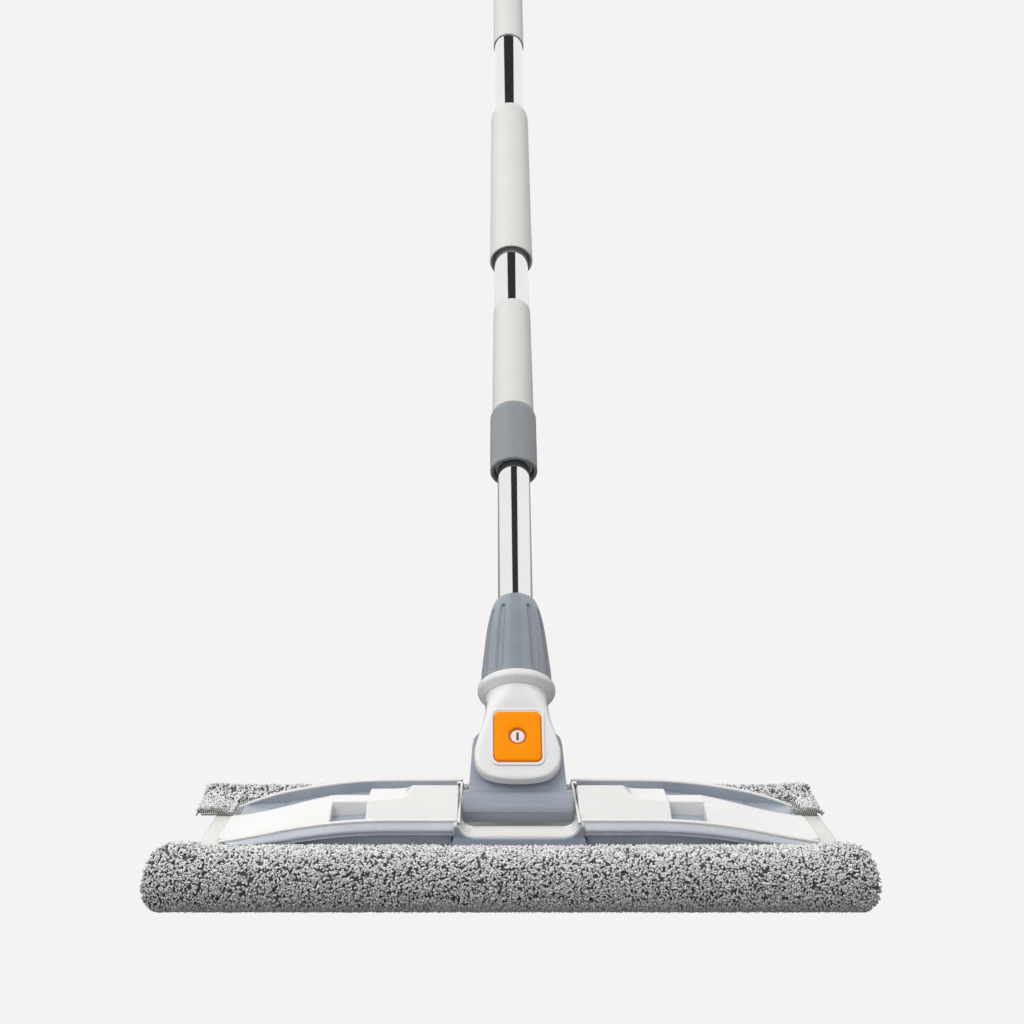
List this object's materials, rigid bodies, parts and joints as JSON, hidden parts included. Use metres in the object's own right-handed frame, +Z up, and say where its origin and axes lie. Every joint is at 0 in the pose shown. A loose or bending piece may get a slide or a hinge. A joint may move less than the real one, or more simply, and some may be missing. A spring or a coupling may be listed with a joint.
{
  "type": "flat mop",
  "caption": "Flat floor mop: a telescopic pole on a two-axis joint, over a long rectangular head whose hinged wings clamp a pile cloth wrapped round it.",
  "frame": {"origin": "on the floor at the middle of the cloth's sole, straight below the middle of the hinge barrel", "axes": "+X along the head's long side, +Z up from the floor, the pole leaning back towards +Y; the mop's front faces -Y"},
  "size_m": [0.416, 0.8793, 0.8603],
  "materials": {
    "chrome_tube": "mirror polished, plated steel tube",
    "grip_white": "warm white moulded grip, satin",
    "lock_grey": "blue-grey, satin",
    "nut_grey": "blue-grey, satin",
    "neck_white": "white, glossy",
    "accent_orange": "orange, glossy",
    "steel": "plated fastener",
    "nylon": "natural nylon",
    "yoke_grey": "blue-grey, satin",
    "plate_ivory": "ivory, satin",
    "frame_grey": "blue-grey, satin",
    "cover_white": "white, glossy",
    "tooth_rubber": "dark rubber",
    "pad_foam": "grey foam",
    "pile_grey": "grey looped pile with lighter tips"
  },
  "bodies": {
    "handle_upper": {"upper_tube": "chrome_tube", "mid_grip": "grip_white", "top_grip": "grip_white", "lower_sleeve": "grip_white", "hanging_cap": "grip_white", "guide_bush": "nylon", "lock_collet": "nylon"},
    "lock_sleeve_body": {"lock_sleeve": "lock_grey"},
    "handle_lower": {"lower_tube": "chrome_tube", "slide_plug": "nylon", "tube_socket": "neck_white", "neck_front": "neck_white", "neck_rear": "neck_white", "accent_cap": "accent_orange", "pivot_screw": "steel", "pivot_nut": "steel", "pivot_washers": "nylon"},
    "cone_nut_body": {"cone_nut": "nut_grey"},
    "yoke_body": {"yoke": "yoke_grey", "axle_bushes": "nylon", "roll_bush": "nylon"},
    "head": {"axle_pin": "steel", "base_plate": "plate_ivory", "base_screws": "steel", "centre_tub": "cover_white", "chassis": "frame_grey", "wing_pins": "steel", "wing_latches": "frame_grey", "sponge_pad": "pad_foam", "mop_cloth": "pile_grey"},
    "wing_left": {"wing_frame_left": "frame_grey", "wing_rims_left": "cover_white", "wing_cover_left": "cover_white", "clamp_strips_left": "tooth_rubber"},
    "wing_right": {"wing_frame_right": "frame_grey", "wing_rims_right": "cover_white", "wing_cover_right": "cover_white", "clamp_strips_right": "tooth_rubber"}
  },
  "joints": [
    {"name": "pole_extend", "type": "slide", "parent": "handle_upper", "child": "handle_lower", "axis": [0, -0.7071, -0.7071], "range_m": [-0.1, 0.3]},
    {"name": "lock_sleeve_twist", "type": "hinge", "parent": "handle_upper", "child": "lock_sleeve_body", "pos_m": [0, 0.21213, 0.26213], "axis": [0, 0.7071, 0.7071], "range_deg": [0, 60]},
    {"name": "cone_nut_twist", "type": "hinge", "parent": "handle_lower", "child": "cone_nut_body", "pos_m": [0, 0.08344, 0.13344], "axis": [0, 0.7071, 0.7071], "range_deg": [0, 90]},
    {"name": "neck_roll", "type": "hinge", "parent": "handle_lower", "child": "yoke_body", "pos_m": [0, 0.02729, 0.07729], "axis": [0, -0.7071, 0.7071], "range_deg": [-60, 60]},
    {"name": "head_pitch", "type": "hinge", "parent": "yoke_body", "child": "head", "pos_m": [0, 0, 0.05], "axis": [1, 0, 0], "range_deg": [-90, 20]},
    {"name": "wing_left_lift", "type": "hinge", "parent": "head", "child": "wing_left", "pos_m": [-0.04, 0, 0.057], "axis": [0, 1, 0], "range_deg": [0, 15]},
    {"name": "wing_right_lift", "type": "hinge", "parent": "head", "child": "wing_right", "pos_m": [0.04, 0, 0.057], "axis": [0, 1, 0], "range_deg": [-15, 0]}
  ]
}
